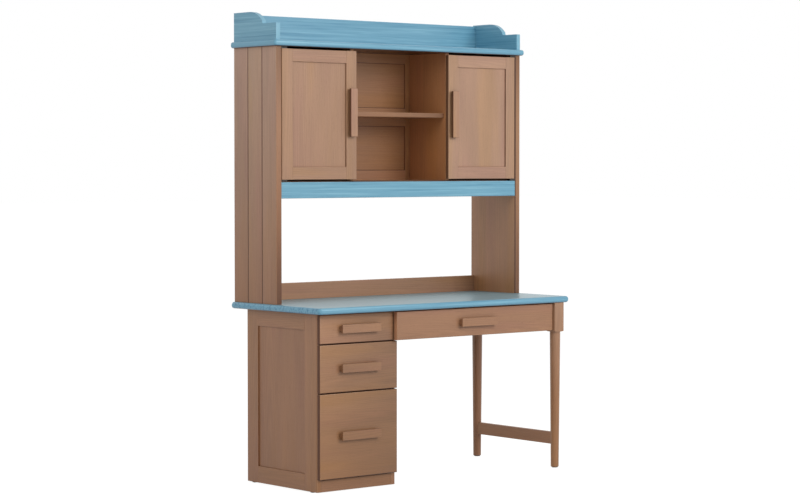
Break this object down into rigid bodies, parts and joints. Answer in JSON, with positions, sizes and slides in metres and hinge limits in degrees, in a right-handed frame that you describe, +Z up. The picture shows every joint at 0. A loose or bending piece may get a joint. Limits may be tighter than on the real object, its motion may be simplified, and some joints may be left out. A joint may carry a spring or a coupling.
{
  "type": "student desk with hutch",
  "caption": "Wooden desk with a drawer pedestal, turned legs and a hutch that has an open niche between two cupboards, with hinged doors and sliding drawers.",
  "frame": {"origin": "on the floor under the middle of the desk top", "axes": "+Z up, +Y from the sitter to the wall, +X to the sitter's right"},
  "size_m": [1.404, 0.621, 1.979],
  "materials": {
    "stained_wood": "satin lacquer over stain",
    "blue_paint": "satin paint over grain",
    "drawer_wood": "bare, sanded",
    "nylon": "matt",
    "pivot_steel": "plated"
  },
  "bodies": {
    "root": {"desktop": "blue_paint", "crown_board": "blue_paint", "gallery_back_rail": "blue_paint", "gallery_left_side": "blue_paint", "gallery_right_side": "blue_paint", "valance": "blue_paint", "pedestal_left_front_stile": "stained_wood", "pedestal_left_rear_stile": "stained_wood", "pedestal_left_top_rail": "stained_wood", "pedestal_left_bottom_rail": "stained_wood", "pedestal_left_panel": "stained_wood", "pedestal_right_side": "stained_wood", "pedestal_plinth": "stained_wood", "front_leg": "stained_wood", "rear_leg": "stained_wood", "leg_stretcher": "stained_wood", "side_apron": "stained_wood", "rear_apron": "stained_wood", "front_top_rail": "stained_wood", "hutch_left_side": "stained_wood", "hutch_right_side": "stained_wood", "left_divider": "stained_wood", "right_divider": "stained_wood", "hutch_floor": "stained_wood", "niche_shelf": "stained_wood", "compartment_shelves": "stained_wood", "hutch_back_frame": "stained_wood", "hutch_back_panels": "stained_wood", "lower_back_rail": "stained_wood", "pedestal_drawer_rails": "stained_wood", "pedestal_floor": "stained_wood", "pedestal_back_panel": "stained_wood", "drawer_runners": "drawer_wood", "wide_drawer_runners": "drawer_wood", "hutch_tenons": "drawer_wood", "shelf_cleats": "drawer_wood", "floor_glides": "nylon", "door_pivot_pins": "pivot_steel"},
    "left_door": {"left_door_frame": "stained_wood", "left_door_panel": "stained_wood", "left_door_handle": "stained_wood"},
    "right_door": {"right_door_frame": "stained_wood", "right_door_panel": "stained_wood", "right_door_handle": "stained_wood"},
    "drawer_1": {"drawer_1_front": "stained_wood", "drawer_1_handle": "stained_wood", "drawer_1_box": "drawer_wood", "drawer_1_bottom": "drawer_wood"},
    "drawer_2": {"drawer_2_front": "stained_wood", "drawer_2_handle": "stained_wood", "drawer_2_box": "drawer_wood", "drawer_2_bottom": "drawer_wood"},
    "drawer_3": {"drawer_3_front": "stained_wood", "drawer_3_handle": "stained_wood", "drawer_3_box": "drawer_wood", "drawer_3_bottom": "drawer_wood"},
    "wide_drawer": {"wide_drawer_front": "stained_wood", "wide_drawer_handle": "stained_wood", "wide_drawer_box": "drawer_wood", "wide_drawer_bottom": "drawer_wood"}
  },
  "joints": [
    {"name": "left_door_hinge", "type": "hinge", "parent": "root", "child": "left_door", "pos_m": [-0.644, 0.007, 1.55], "axis": [0, 0, -1], "range_deg": [0, 110]},
    {"name": "right_door_hinge", "type": "hinge", "parent": "root", "child": "right_door", "pos_m": [0.644, 0.007, 1.55], "axis": [0, 0, 1], "range_deg": [0, 110]},
    {"name": "drawer_1_slide", "type": "slide", "parent": "root", "child": "drawer_1", "axis": [0, -1, 0], "range_m": [0, 0.32]},
    {"name": "drawer_2_slide", "type": "slide", "parent": "root", "child": "drawer_2", "axis": [0, -1, 0], "range_m": [0, 0.32]},
    {"name": "drawer_3_slide", "type": "slide", "parent": "root", "child": "drawer_3", "axis": [0, -1, 0], "range_m": [0, 0.32]},
    {"name": "wide_drawer_slide", "type": "slide", "parent": "root", "child": "wide_drawer", "axis": [0, -1, 0], "range_m": [0, 0.3]}
  ]
}
